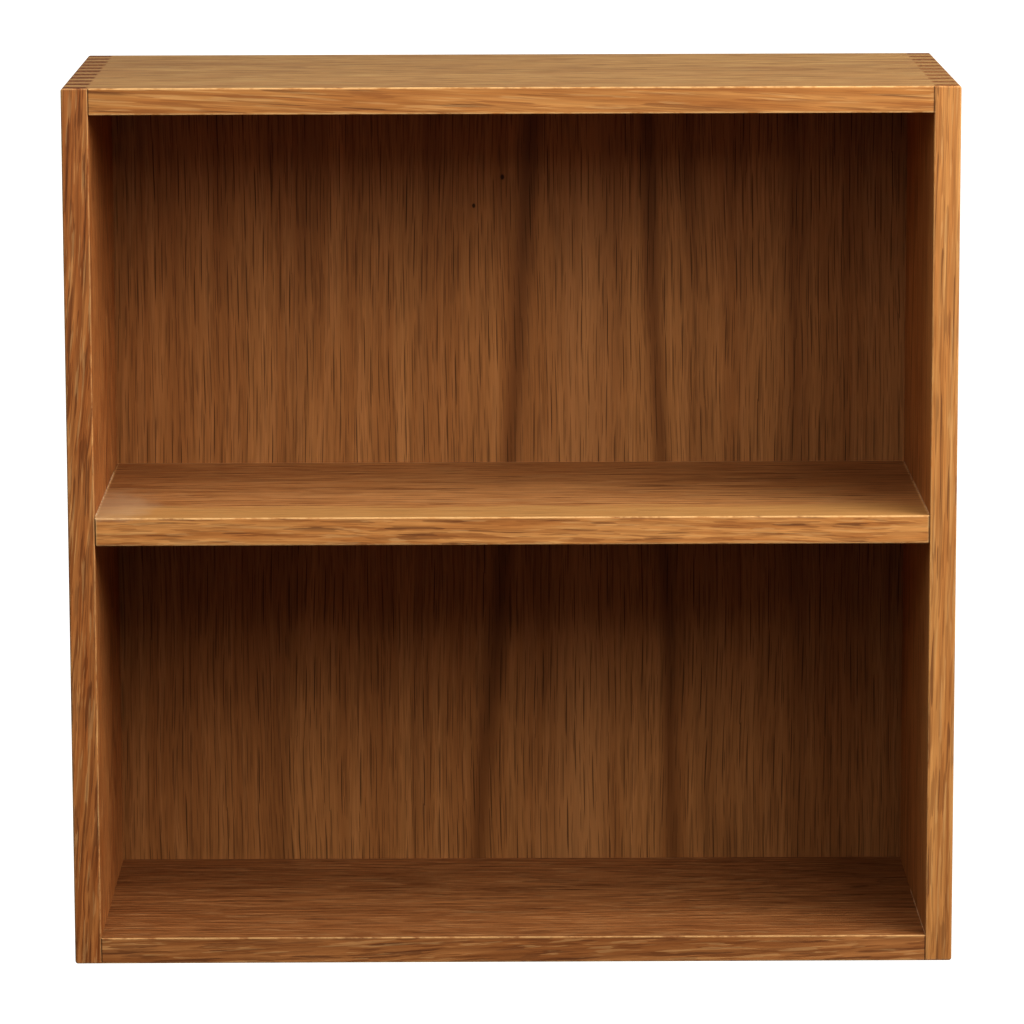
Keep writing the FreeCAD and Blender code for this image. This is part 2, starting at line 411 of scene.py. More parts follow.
    def year(self, graph: Graph, grain: list[Input]) -> Input:
        """How porous the wood is within its year.

        The distance from the pith over the width of a ring counts the years, and its fraction
        is the share of the year that has passed.

        Args:
            graph: The material's graph.
            grain: The place across, through and along the grain.

        Returns:
            1 in early wood, falling to 0 in late wood.
        """
        across, through, _ = grain
        x = graph.math("SUBTRACT", across, self.pith[0])
        y = graph.math("SUBTRACT", through, self.pith[1])
        squares = graph.math("ADD", graph.math("MULTIPLY", x, x), graph.math("MULTIPLY", y, y))
        radius = graph.math("SQRT", squares)
        wobble = self.stretched(graph, grain, self.ring_layer)
        years = graph.math("ADD", graph.math("DIVIDE", radius, self.ring), wobble)
        return graph.step(graph.math("FRACT", years), *self.year_range)

    def lay_out(self, graph: Graph, box: Box) -> WoodPattern:
        """Lays out the solid pattern.

        Args:
            graph: The material's graph.
            box: The board's lowest and highest corners.

        Returns:
            The pattern's parts.
        """
        place = graph.object_place()
        grain = self.grain_place(graph, place, box)
        early = self.year(graph, grain)
        hair = self.stretched(graph, grain, self.pore_layer)
        depth = graph.span(early, *self.pore_share)
        return WoodPattern(
            place,
            grain,
            early,
            tone=self.stretched(graph, grain, self.tone_layer),
            stroke=self.stretched(graph, grain, self.stroke_layer),
            fibre=self.stretched(graph, grain, self.fibre_layer),
            pores=graph.math("MULTIPLY", graph.step(hair, *self.pore_range), depth),
        )

    def wood_colour(self, graph: Graph, wood: WoodPattern) -> Input:
        """The colour of the wood inside a face.

        Args:
            graph: The material's graph.
            wood: The pattern's parts.

        Returns:
            The colour.
        """
        pale = graph.math("ADD", wood.stroke, graph.math("MULTIPLY", wood.tone, 0.5))
        colour = graph.blend(graph.step(pale, *self.pale_range), self.amber, self.pale)
        year = graph.math("MULTIPLY", wood.early, self.year_share * self.figure)
        colour = graph.blend(year, colour, self.brown)
        start = self.streak_start - self.streak_drop * self.figure
        spindle = self.stretched(graph, wood.grain, self.streak_layer)
        streak = graph.step(spindle, start, start + self.streak_edge)
        streak = graph.math("MULTIPLY", streak, self.streak_share * self.figure)
        colour = graph.blend(streak, colour, self.brown)
        colour = graph.blend(wood.pores, colour, self.pore)
        fleck = graph.step(self.stretched(graph, wood.grain, self.fleck_layer), *self.fleck_range)
        colour = graph.blend(graph.math("MULTIPLY", fleck, self.fleck_share), colour, self.rubbed)
        tone_shade = graph.span(wood.tone, *self.tone_shade)
        shade = graph.math("ADD", tone_shade, graph.span(wood.fibre, *self.fibre_shade))
        return graph.blend(1.0, colour, graph.join(shade, shade, shade), "MULTIPLY")

    def upper_colour(self, graph: Graph, wood: WoodPattern, colour: Input, front: float) -> Input:
        """The colour of the face that looks up, with its painted sheen and shade and its strip of sapwood.

        Args:
            graph: The material's graph.
            wood: The pattern's parts.
            colour: The wood's colour.
            front: Where the board's front edge is.

        Returns:
            The colour.
        """
        # Painted light: the face that looks up is tinted greyer for sheen, or darker for shade.
        sheen_and_shade_colour = graph.blend(1.0, colour, self.upper_face_sheen_and_shade, "MULTIPLY")
        if not self.sapwood:
            return sheen_and_shade_colour
        depth = graph.math("SUBTRACT", graph.split(wood.place)[1], front)
        depth = graph.math("MULTIPLY_ADD", wood.stroke, -self.sapwood, depth)
        strip = graph.step(depth, self.sapwood * 0.65, self.sapwood * 0.35)
        return graph.blend(graph.math("MULTIPLY", strip, self.sap_share), sheen_and_shade_colour, self.sap)

    def joint_share(self, graph: Graph, wood: WoodPattern, normal: list[Input]) -> Input:
        """The thin shadow in the joints at both ends of the front edge.

        Args:
            graph: The material's graph.
            wood: The pattern's parts.
            normal: The three parts of the surface's normal.

        Returns:
            The joint's depth of shadow in a joint of the front edge, 0 elsewhere.
        """
        sideways = graph.math("ABSOLUTE", graph.split(wood.place)[0])
        off = graph.math("ABSOLUTE", graph.math("SUBTRACT", sideways, self.joint))
        front = graph.step(normal[1], -0.5, -0.9)
        line = graph.math("MULTIPLY", graph.step(off, *self.joint_line), front)
        return graph.math("MULTIPLY", line, self.joint_depth)

    def build(self, box: Box, extra: "GlueSmear | None" = None) -> bpy.types.Material:
        """Makes the material for one board.

        Args:
            box: The board's lowest and highest corners, for the wear of its arrises.
            extra: A smear of glue to lay over it.

        Returns:
            The material.
        """
        material, graph = new_material(self.name)
        wood = self.lay_out(graph, box)
        normal = graph.split(graph.facing())
        colour = self.wood_colour(graph, wood)
        end = graph.step(graph.math("ABSOLUTE", normal[self.along.value]), *self.end_range)
        end_tint = (self.end_shade, self.end_shade * 0.9, self.end_shade * 0.8)
        colour = graph.blend(end, colour, graph.blend(1.0, colour, end_tint, "MULTIPLY"))
        upper = self.upper_colour(graph, wood, colour, box[0][1])
        # The face that looks up gets the painted sheen and shade.
        colour = graph.blend(graph.step(normal[2], *self.up_range), colour, upper)

        # Lighter arrises: oil worn off, and a painted highlight where the rounded arris catches the light.
        chips = graph.step(graph.noise(wood.place, 150.0, 3.0, 0.6).outputs["Fac"], *self.chip_range)
        worn_and_lit = graph.math("MULTIPLY", arris_wear_and_highlight(graph, wood.place, box, *self.arris), chips)
        colour = graph.blend(graph.math("MULTIPLY", worn_and_lit, self.wear_and_highlight), colour, self.rubbed)
        if self.joint:
            colour = graph.blend(self.joint_share(graph, wood, normal), colour, self.joint_shadow)

        spread = self.gloss_spread
        roughness = graph.span(wood.stroke, self.gloss - spread, self.gloss + spread)
        roughness = graph.math("MULTIPLY_ADD", wood.pores, self.pore_dullness, roughness)
        roughness = graph.math("MULTIPLY_ADD", end, self.end_dullness, roughness)
        open_grain = graph.math("MULTIPLY", wood.pores, 0.5)
        height = graph.math("SUBTRACT", graph.span(wood.fibre, 0.3, 0.7), open_grain)
        height = graph.math("MULTIPLY_ADD", wood.early, -0.12, height)
        if extra is not None:
            colour, roughness = extra.lay(graph, wood.place, colour, roughness)
        shader = graph.add(
            "ShaderNodeBsdfPrincipled",
            {
                "Base Color": colour,
                "Roughness": roughness,
                "Normal": graph.bump(height, 0.5, WOOD_RELIEF),
                "Specular IOR Level": WOOD_SPECULAR,
            },
        )
        close_material(graph, shader)
        return material


@dataclass(frozen=True)
class GlueSmear:
    """A pale film of wood glue that was wiped along a joint and sanded over."""

    centre: Point
    reach: Point  # half the length on each axis
    strength: float = 0.5
    colour: Colour = (0.50, 0.34, 0.20)

    def lay(self, graph: Graph, place: Input, colour: Input, roughness: Input) -> tuple[Input, Input]:
        """Lays the film over a wood.

        Args:
            graph: The material's graph.
            place: The point in the part's frame.
            colour: The wood's colour.
            roughness: The wood's roughness.

        Returns:
            The colour and the roughness with the film.
        """
        offset = graph.vector("DIVIDE", graph.vector("SUBTRACT", place, self.centre), self.reach)
        distance = graph.vector("LENGTH", offset)
        ragged = graph.noise(place, 90.0, 4.0, 0.6).outputs["Fac"]
        distance = graph.math("MULTIPLY_ADD", ragged, 0.9, distance)
        film = graph.math("MULTIPLY", graph.step(distance, 1.45, 0.75), self.strength)
        return (
            graph.blend(film, colour, self.colour),
            graph.math("MULTIPLY_ADD", film, 0.15, roughness),
        )


@dataclass(frozen=True)
class Streak:
    """A soft upright band in the veneer."""

    x: float  # where it crosses the height of the origin
    lean: float  # how far it moves sideways per metre of height
    width: float
    strength: float  # dark where positive, pale where negative


@dataclass(frozen=True)
class PinKnot:
    """A pin knot: a dark speck, a little taller than wide."""

    x: float
    z: float
    radius: float = 0.0011


@dataclass(frozen=True)
class Veneer:
    """The oak veneer of the back panel: upright grain, rows of short open pores, dark bands."""

    name: str = "oak_veneer"
    pale: Colour = (0.415, 0.188, 0.060)
    amber: Colour = (0.342, 0.145, 0.043)
    brown: Colour = (0.180, 0.067, 0.016)
    pore: Colour = (0.055, 0.020, 0.005)
    rubbed: Colour = (0.54, 0.265, 0.10)  # the light threads between the pores
    pore_pitch: float = 0.0050  # between the rows of long pores
    pore_length: float = 0.050  # of one long pore and the gap to the next
    short_pitch: float = 0.0037  # the same for the short pores
    short_length: float = 0.020
    sway: float = 0.006
    streaks: tuple[Streak, ...] = (
        Streak(0.0480, 0.020, 0.0300, -0.35),
        Streak(0.0140, 0.078, 0.0100, 0.85),
        Streak(0.0830, -0.035, 0.0080, 0.8),
        Streak(0.1080, -0.03, 0.012, 0.25),
        Streak(-0.0490, 0.02, 0.005, 0.28),
        Streak(-0.118, 0.05, 0.014, 0.25),
        Streak(0.165, -0.02, 0.010, 0.3),
    )
    knots: tuple[PinKnot, ...] = (PinKnot(-0.0215, -0.042), PinKnot(-0.0045, -0.025, 0.0013))

    tone_layer: Layer = Layer(0.09, 6.0)
    band_layer: Layer = Layer(0.018, 26.0, 3.0)
    stripe_layer: Layer = Layer(0.0042, 30.0)
    line_layer: Layer = Layer(0.0015, 30.0, 1.0)
    fibre_layer: Layer = Layer(0.0010, 30.0, 1.0)

    pale_range: Range = (0.38, 0.62)  # of the bands, from amber to pale
    dark_stripe: Range = (0.5, 0.68)
    dark_share: float = 0.16
    light_stripe: Range = (0.48, 0.36)
    light_share: float = 0.2
    line_range: Range = (0.58, 0.64)
    line_share: float = 0.22
    tone_shade: Range = (0.82, 1.18)
    fibre_shade: Range = (-0.28, 0.28)
    pore_size: Point = (0.085, 0.45, 1.0)  # half the width and half the length, in cells
    long_depth: float = 0.8
    short_depth: float = 0.5
    short_shift: float = 0.31  # sideways, so that both kinds of pores differ in place

    def pores(self, graph: Graph, across: Input, height: Input, pitch: float, length: float) -> Input:
        """Rows of short upright pores.

        The face is divided into Voronoi cells, each a pitch wide and a length high. Around each
        cell's point stands a narrow ellipse, whose depth differs from cell to cell.

        Args:
            graph: The material's graph.
            across: Place across the grain.
            height: Place along the grain.
            pitch: Width of a cell, in metres.
            length: Height of a cell, in metres.

        Returns:
            1 in a deep pore, 0 between pores.
        """
        cell_x, cell_y = graph.math("DIVIDE", across, pitch), graph.math("DIVIDE", height, length)
        cell = graph.join(cell_x, cell_y, 0.0)
        inputs = {"Vector": cell, "Scale": 1.0, "Randomness": 0.7}
        voronoi = graph.add("ShaderNodeTexVoronoi", inputs, voronoi_dimensions="2D")
        offset = graph.vector("SUBTRACT", cell, voronoi.outputs["Position"])
        squashed = graph.vector("DIVIDE", offset, self.pore_size)
        depth = graph.split(voronoi.outputs["Color"])[0]
        ellipse = graph.step(graph.vector("LENGTH", squashed), 1.0, 0.6)
        return graph.math("MULTIPLY", ellipse, graph.span(depth, 0.35, 1.0))

    def all_pores(self, graph: Graph, across: Input, height: Input) -> Input:
        """The long and the short pores together.

        Args:
            graph: The material's graph.
            across: Place across the grain.
            height: Place along the grain.

        Returns:
            The depth of the deeper of the two.
        """
        long = self.pores(graph, across, height, self.pore_pitch, self.pore_length)
        shifted = graph.math("ADD", across, self.short_shift)
        short = self.pores(graph, shifted, height, self.short_pitch, self.short_length)
        long = graph.math("MULTIPLY", long, self.long_depth)
        return graph.math("MAXIMUM", long, graph.math("MULTIPLY", short, self.short_depth))

    def sheet_colour(self, graph: Graph, read: Callable[[Layer], Input], fibre: Input) -> Input:
        """The colour of the sheet without its pores, bands and knots.

        Args:
            graph: The material's graph.
            read: Gives a layer's noise.
            fibre: The noise of the finest threads.

        Returns:
            The colour.
        """
        stripe = read(self.stripe_layer)
        pale = graph.step(read(self.band_layer), *self.pale_range)
        colour = graph.blend(pale, self.amber, self.pale)
        dark = graph.math("MULTIPLY", graph.step(stripe, *self.dark_stripe), self.dark_share)
        colour = graph.blend(dark, colour, self.brown)
        light = graph.math("MULTIPLY", graph.step(stripe, *self.light_stripe), self.light_share)
        colour = graph.blend(light, colour, self.rubbed)
        tone_shade = graph.span(read(self.tone_layer), *self.tone_shade)
        shade = graph.math("ADD", tone_shade, graph.span(fibre, *self.fibre_shade))
        colour = graph.blend(1.0, colour, graph.join(shade, shade, shade), "MULTIPLY")
        line = graph.step(read(self.line_layer), *self.line_range)
        return graph.blend(graph.math("MULTIPLY", line, self.line_share), colour, self.pore)

    def banded(self, graph: Graph, colour: Input, across: Input, height: Input) -> Input:
        """Adds the soft upright bands.

        Args:
            graph: The material's graph.
            colour: The sheet's colour.
            across: Place across the grain.
            height: Place along the grain.

        Returns:
            The colour with the bands.
        """
        for streak in self.streaks:
            centre = graph.math("MULTIPLY_ADD", height, streak.lean, streak.x)
            off = graph.math("ABSOLUTE", graph.math("SUBTRACT", across, centre))
            share = graph.math("MULTIPLY", graph.step(off, streak.width, 0.0), abs(streak.strength))
            colour = graph.blend(share, colour, self.brown if streak.strength > 0 else self.rubbed)
        return colour

    def knotted(self, graph: Graph, colour: Input, place: Input) -> Input:
        """Adds the pin knots.

        Args:
            graph: The material's graph.
            colour: The sheet's colour.
            place: The point in the part's frame.

        Returns:
            The colour with the knots.
        """
        for knot in self.knots:
            offset = graph.vector("SUBTRACT", place, (knot.x, 0.0, knot.z))
            offset = graph.vector("DIVIDE", offset, (knot.radius, 1.0, knot.radius * 1.4))
            share = graph.step(graph.vector("LENGTH", offset), 1.2, 0.5)
            colour = graph.blend(share, colour, self.pore)
        return colour

    def build(self) -> bpy.types.Material:
        """Makes the material.

        Returns:
            The material.
        """
        material, graph = new_material(self.name)
        place = graph.object_place()
        x, y, z = graph.split(place)
        slow = graph.join(x, y, graph.math("MULTIPLY", z, 0.3))
        sway = graph.noise(slow, 14.0, 2.0, 0.45).outputs["Fac"]
        across = graph.math("MULTIPLY_ADD", graph.math("SUBTRACT", sway, 0.5), self.sway * 2, x)

        def read(layer: Layer) -> Input:
            """A layer's noise in upright strokes."""
            return layer.read(graph, graph.join(across, y, graph.math("DIVIDE", z, layer.ratio)))

        fibre = read(self.fibre_layer)
        pores = self.all_pores(graph, across, z)
        colour = self.sheet_colour(graph, read, fibre)
        colour = self.banded(graph, colour, across, z)
        colour = graph.blend(pores, colour, self.pore)
        colour = self.knotted(graph, colour, place)
        roughness = graph.math("MULTIPLY_ADD", pores, 0.2, graph.span(fibre, 0.45, 0.6))
        open_grain = graph.math("MULTIPLY", pores, 0.5)
        height = graph.math("SUBTRACT", graph.span(fibre, 0.3, 0.7), open_grain)
        shader = graph.add(
            "ShaderNodeBsdfPrincipled",
            {
                "Base Color": colour,
                "Roughness": roughness,
                "Normal": graph.bump(height, 0.4, WOOD_RELIEF),
                "Specular IOR Level": WOOD_SPECULAR,
            },
        )
        close_material(graph, shader)
        return material


@dataclass(frozen=True)
class ZincPlate:
    """Bright zinc on pressed steel: soft crystals, fine rolling lines and a few dull spots."""

    name: str
    colour: Colour = (0.56, 0.57, 0.58)
    dull: Colour = (0.36, 0.36, 0.36)
    roughness: float = 0.34
    line_scale: Point = (900.0, 900.0, 40.0)

    def build(self) -> bpy.types.Material:
        """Makes the material.

        Returns:
            The material.
        """
        material, graph = new_material(self.name)
        place = graph.object_place()
        crystals = graph.add("ShaderNodeTexVoronoi", {"Vector": place, "Scale": 700.0}).outputs["Color"]
        crystal = graph.split(crystals)[0]
        lines = graph.noise(graph.vector("MULTIPLY", place, self.line_scale), 1.0, 2.0).outputs["Fac"]
        stains = graph.noise(place, 140.0, 4.0, 0.6).outputs["Fac"]
        dull_share = graph.math("ADD", graph.step(stains, 0.5, 0.75), graph.math("MULTIPLY", crystal, 0.25))
        colour = graph.blend(dull_share, self.colour, self.dull)
        roughness = graph.span(crystal, self.roughness - 0.06, self.roughness + 0.06)
        roughness = graph.math("ADD", roughness, graph.span(stains, -0.05, 0.12))
        shader = graph.add(
            "ShaderNodeBsdfPrincipled",
            {
                "Base Color": colour,
                "Metallic": 1.0,
                "Roughness": roughness,
                "Normal": graph.bump(lines, 0.25, 0.00005),
            },
        )
        close_material(graph, shader)
        return material


@dataclass(frozen=True)
class Beech:
    """Turned beech: pinkish, with short dark rays along the dowel."""

    name: str = "beech"
    pale: Colour = (0.60, 0.38, 0.22)
    dark: Colour = (0.38, 0.20, 0.10)

    def build(self) -> bpy.types.Material:
        """Makes the material.

        Returns:
            The material.
        """
        material, graph = new_material(self.name)
        place = graph.object_place()
        fibre = graph.noise(graph.vector("MULTIPLY", place, (0.05, 1.0, 1.0)), 1800.0, 2.0).outputs["Fac"]
        rays = graph.noise(graph.vector("MULTIPLY", place, (0.2, 1.0, 1.0)), 1500.0, 1.0).outputs["Fac"]
        ray = graph.step(rays, 0.62, 0.72)
        colour = graph.blend(graph.step(fibre, 0.3, 0.7), self.dark, self.pale)
        colour = graph.blend(graph.math("MULTIPLY", ray, 0.6), colour, self.dark)
        shader = graph.add(
            "ShaderNodeBsdfPrincipled",
            {
                "Base Color": colour,
                "Roughness": graph.span(fibre, 0.5, 0.7),
                "Normal": graph.bump(fibre, 0.4, 0.0001),
            },
        )
        close_material(graph, shader)
        return material


@dataclass(frozen=True)
class DryGlue:
    """Squeezed-out wood glue, dried pale and a little dusty."""

    name: str = "dry_glue"
    pale: Colour = (0.62, 0.42, 0.25)
    dusty: Colour = (0.36, 0.20, 0.10)

    def build(self) -> bpy.types.Material:
        """Makes the material.

        Returns:
            The material.
        """
        material, graph = new_material(self.name)
        place = graph.object_place()
        dust = graph.noise(place, 220.0, 4.0, 0.6).outputs["Fac"]
        lumps = graph.noise(place, 700.0, 2.0).outputs["Fac"]
        shader = graph.add(
            "ShaderNodeBsdfPrincipled",
            {
                "Base Color": graph.blend(graph.step(dust, 0.4, 0.62), self.pale, self.dusty),
                "Roughness": graph.span(dust, 0.35, 0.65),
                "Normal": graph.bump(lumps, 0.5, 0.0002),
                "Subsurface Weight": 0.15,
                "Subsurface Scale": 0.001,
            },
        )
        close_material(graph, shader)
        return material


def dress(node: str, material: bpy.types.Material) -> None:
    """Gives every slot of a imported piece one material.

    Args:
        node: The piece's name.
        material: Its finish.
    """
    piece = bpy.data.objects[node]
    if not piece.material_slots:
        piece.data.materials.append(material)
    for slot in piece.material_slots:
        slot.material = material
    log.info("%s: %s", node, material.name)


# ---- new pieces ----
def closed_skin(name: str, grid: np.ndarray, start: Point, end: Point) -> bpy.types.Object:
    """A closed mesh from rings of points, with a pole at each end.

    Ring i and point j are joined to ring i + 1 and point j + 1 as one quad, with the points of a
    ring taken in a circle. The first and the last ring are closed by triangles to their poles.

    Args:
        name: The new object's name.
        grid: Points as an array of rings x points x 3, anticlockwise as seen from the end pole.
        start: The pole before the first ring.
        end: The pole after the last ring.

    Returns:
        The object, at the origin.
    """
    rings, points, _ = grid.shape
    number = np.arange(rings * points).reshape(rings, points)
    after = np.roll(number, -1, axis=1)
    quads = np.stack((number[:-1], after[:-1], after[1:], number[1:]), axis=-1).reshape(-1, 4)
    first, last = rings * points, rings * points + 1
    start_fan = np.stack((after[0], number[0], np.full(points, first)), axis=-1)
    end_fan = np.stack((number[-1], after[-1], np.full(points, last)), axis=-1)
    vertices = np.concatenate((grid.reshape(-1, 3), [start, end]))
    mesh = bpy.data.meshes.new(name)
    mesh.from_pydata(vertices, [], [*quads.tolist(), *start_fan.tolist(), *end_fan.tolist()])
    mesh.polygons.foreach_set("use_smooth", np.ones(len(mesh.polygons), dtype=bool))
    mesh.update()
    piece = bpy.data.objects.new(name, mesh)
    bpy.context.scene.collection.objects.link(piece)
    return piece


def finish_piece(piece: bpy.types.Object, material: bpy.types.Material) -> None:
    """Gives a new piece its finish and fixes it to the case.

    Args:
        piece: The new object.
        material: Its finish.
    """
    piece.data.materials.append(material)
    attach(piece, "root")
    log.info("%s: %d faces, %s", piece.name, len(piece.data.polygons), material.name)


@dataclass(frozen=True)
class FlutedDowel:
    """A chamfered dowel with straight flutes, in place of a plain one."""

    node: str
    chamfer: float = 0.0008
    flutes: int = 16
    flute_depth: float = 0.00035
    points: int = 96
    inner_rings: int = 12

    def build(self) -> bpy.types.Object:
        """Works out the dowel's skin.

        The radius is the dowel's own, less the chamfer near each end, less a flute: its depth
        times the fourth power of half of 1 plus the cosine of the flute count times the angle.

        Returns:
            The new piece.
        """
        (x_low, y_low, z_low), (x_high, y_high, z_high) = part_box(self.node)
        radius = (z_high - z_low) / 2
        y_mid, z_mid = (y_low + y_high) / 2, (z_low + z_high) / 2
        ends = np.array([0.0, self.chamfer, 2 * self.chamfer])
        length = x_high - x_low
        inner = np.linspace(3 * self.chamfer, length - 3 * self.chamfer, self.inner_rings)
        travel = np.concatenate((ends, inner, length - ends[::-1]))
        inset = np.minimum(travel, length - travel)
        outline = radius - np.clip(self.chamfer - inset, 0, None)
        angle = np.arange(self.points) * FULL_TURN / self.points
        flute = self.flute_depth * ((1 + np.cos(self.flutes * angle)) / 2) ** 4
        fade = np.clip(inset / self.chamfer, 0, 1)
        reach = outline[:, None] - fade[:, None] * flute[None, :]
        grid = np.stack(
            (
                np.broadcast_to(x_low + travel[:, None], reach.shape),
                y_mid + reach * np.cos(angle),
                z_mid + reach * np.sin(angle),
            ),
            axis=-1,
        )
        return closed_skin(f"fluted_{self.node}", grid, (x_low, y_mid, z_mid), (x_high, y_mid, z_mid))


@dataclass(frozen=True)
class WoodScrew:
    """A countersunk wood screw with a cross recess and a coarse thread, its head to the rear."""

    node: str
    root: float = 0.00105  # radius between the threads
    crest: float = 0.0015  # radius on the threads
    pitch: float = 0.0013
    plain: float = 0.0006  # length of shank under the head without a thread
    head_height: float = 0.0013
    tip_length: float = 0.003
    cross_half_span: float = 0.0015
    cross_half_width: float = 0.00038
    cross_depth: float = 0.0009
    softness: float = 0.00008  # of the recess's edges
    point_length: float = 0.0002  # from the last ring to the tip
    points: int = 72
    head_ring_count: int = 28
    shank_ring_count: int = 150

    def head_rings(self, radius: float, angle: np.ndarray) -> tuple[np.ndarray, np.ndarray]:
        """The flat of the head with its recess.

        The recess is the cross depth times a soft step, which is 1 inside either arm of the
        cross and 0 outside, and gets shallower towards the ends of the arms.

        Args:
            radius: The head's radius.
            angle: The angles of the points in a ring.

        Returns:
            The radius and the depth of every point, as arrays of rings x points.
        """
        reach = np.linspace(radius / self.head_ring_count, radius, self.head_ring_count)[:, None]
        x, z = np.abs(reach * np.cos(angle)), np.abs(reach * np.sin(angle))
        along, aside = np.maximum(x, z), np.minimum(x, z)
        inside = 1 / (1 + np.exp((aside - self.cross_half_width) / self.softness))
        inside = inside / (1 + np.exp((along - self.cross_half_span) / self.softness))
        slope = 1 - 0.55 * np.clip(along / self.cross_half_span, 0, 1)
        return np.broadcast_to(reach, x.shape), self.cross_depth * inside * slope

    def shank_rings(self, length: float, angle: np.ndarray) -> tuple[np.ndarray, np.ndarray]:
        """The threaded shank and its tip.

        The thread is a helix: the radius rises from root to crest as a sharpened cosine of depth
        over pitch less the turn, and everything narrows evenly over the tip.

        Args:
            length: The screw's whole length.
            angle: The angles of the points in a ring.

        Returns:
            The radius and the depth of every point, as arrays of rings x points.
        """
        start = self.head_height
        depth = np.linspace(start, length - self.point_length, self.shank_ring_count)[:, None]
        turn = depth / self.pitch - angle / FULL_TURN
        ridge = ((1 + np.cos(FULL_TURN * turn)) / 2) ** 3
        run_in = np.clip((depth - start - self.plain) / self.pitch, 0, 1)
        taper = np.clip((length - depth) / self.tip_length, 0, 1)
        root = self.crest + (self.root - self.crest) * run_in
        radius = (root + (self.crest - root) * ridge) * (0.12 + 0.88 * taper)
        return radius, np.broadcast_to(depth, radius.shape)

    def build(self) -> bpy.types.Object:
        """Works out the screw's skin, from the middle of its head to its tip.

        Returns:
            The new piece.
        """
        (x_low, y_low, z_low), (x_high, y_high, z_high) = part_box(self.node)
        x_mid, z_mid = (x_low + x_high) / 2, (z_low + z_high) / 2
        angle = np.arange(self.points) * FULL_TURN / self.points
        head = self.head_rings((x_high - x_low) / 2, angle)
        shank = self.shank_rings(y_high - y_low, angle)
        radius, depth = (np.concatenate(pair) for pair in zip(head, shank))
        grid = np.stack(
            (x_mid + radius * np.cos(angle), y_high - depth, z_mid + radius * np.sin(angle)), axis=-1
        )
        recess = (x_mid, y_high - self.cross_depth, z_mid)
        return closed_skin(f"threaded_{self.node}", grid, recess, (x_mid, y_low, z_mid))


@dataclass(frozen=True)
class GlueLine:
    """A thin, uneven bead of dried glue in the corner between a level board and a side board."""

    name: str
    corner_x: float
    corner_z: float
    inwards: int  # +1 where the compartment lies towards +X
    front: float
    rear: float
    size: float = 0.0009  # of the bead where it is thickest
    phase: float = 0.0
    points: int = 14
    rings: int = 150

    def build(self) -> bpy.types.Object:
        """Works out the bead's skin.

        Its section is a circle around a point a little way out of the corner, so that part of it
        lies in the joint. The circle's size along the joint is a sum of three sines of different
        lengths, squared off near both ends by the root of a half circle.

        Returns:
            The new piece.
        """
        share = np.linspace(0.004, 0.996, self.rings)
        travel = share * (self.rear - self.front) / MILLIMETRE
        swell = 0.62 + 0.16 * np.sin(travel / 4.1 + self.phase)
        swell = swell + 0.12 * np.sin(travel / 1.7 + 2 * self.phase)
        swell = swell + 0.10 * np.sin(travel / 11.0 + 3 * self.phase)
        rounded_ends = np.sqrt(np.clip(1 - (2 * share - 1) ** 8, 0, 1))
        reach = (self.size * swell * rounded_ends)[:, None] * 0.7
        angle = np.arange(self.points) * FULL_TURN / self.points
        out = self.size * 0.18
        x = self.corner_x + self.inwards * (out + reach * np.cos(angle))
        z = self.corner_z + out + reach * np.sin(angle)
        y = np.broadcast_to((self.front + share * (self.rear - self.front))[:, None], x.shape)
        grid = np.stack((x, y, z), axis=-1)
        if self.inwards > 0:
            grid = grid[:, ::-1]
        middle_x, middle_z = self.corner_x + self.inwards * out, self.corner_z + out
        return closed_skin(
            self.name, grid, (middle_x, self.front, middle_z), (middle_x, self.rear, middle_z)
        )


# ---- sub-assemblies ----
@dataclass(frozen=True)
class Case:
    """The four boards with their finger joints."""

    joint: float = 0.235  # from the middle to the line where a side meets the boards between

    def finishes(self) -> dict[str, Oak]:
        """The oak of each board, by the board's name."""
        return {
            "left_side": Oak(
                "left_side_oak", Axis.Z, (0.31, 0.02, 0.4),
                lean=-0.07, sway=0.006, figure=1.35, stretch=1.2, wear_and_highlight=0.35,
                pale=(0.49, 0.200, 0.059), amber=(0.365, 0.121, 0.030), brown=(0.15, 0.042, 0.0095),
            ),
            "right_side": Oak(
                "right_side_oak", Axis.Z, (0.93, 0.41, 1.2),
                lean=-0.02, figure=0.85, stretch=1.6, wear_and_highlight=0.25,
                pale=(0.575, 0.272, 0.086), amber=(0.49, 0.203, 0.057),
            ),
            "top_board": Oak(
                "top_board_oak", Axis.X, (0.2, 0.13, 0.71),
                lean=0.045, sway=0.003, figure=0.85, stretch=1.7, joint=self.joint,
                pale=(0.525, 0.244, 0.074), amber=(0.43, 0.174, 0.046), upper_face_sheen_and_shade=(0.84, 1.0, 1.1),
            ),
            "bottom_board": Oak(
                "bottom_board_oak", Axis.X, (1.4, 0.77, 0.33),
                lean=-0.035, figure=1.2, wear_and_highlight=0.6, joint=self.joint,
                pale=(0.40, 0.165, 0.052), amber=(0.305, 0.112, 0.032), brown=(0.16, 0.049, 0.012),
                upper_face_sheen_and_shade=(0.80, 0.82, 0.88),
            ),
        }

    def build(self) -> None:
        """Dresses the boards."""
        for node, finish in self.finishes().items():
            dress(node, finish.build(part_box(node)))


@dataclass(frozen=True)
class BackPanel:
    """The veneered back panel."""

    finish: Veneer = Veneer()

    def build(self) -> None:
        """Dresses the panel."""
        dress("back_panel", self.finish.build())


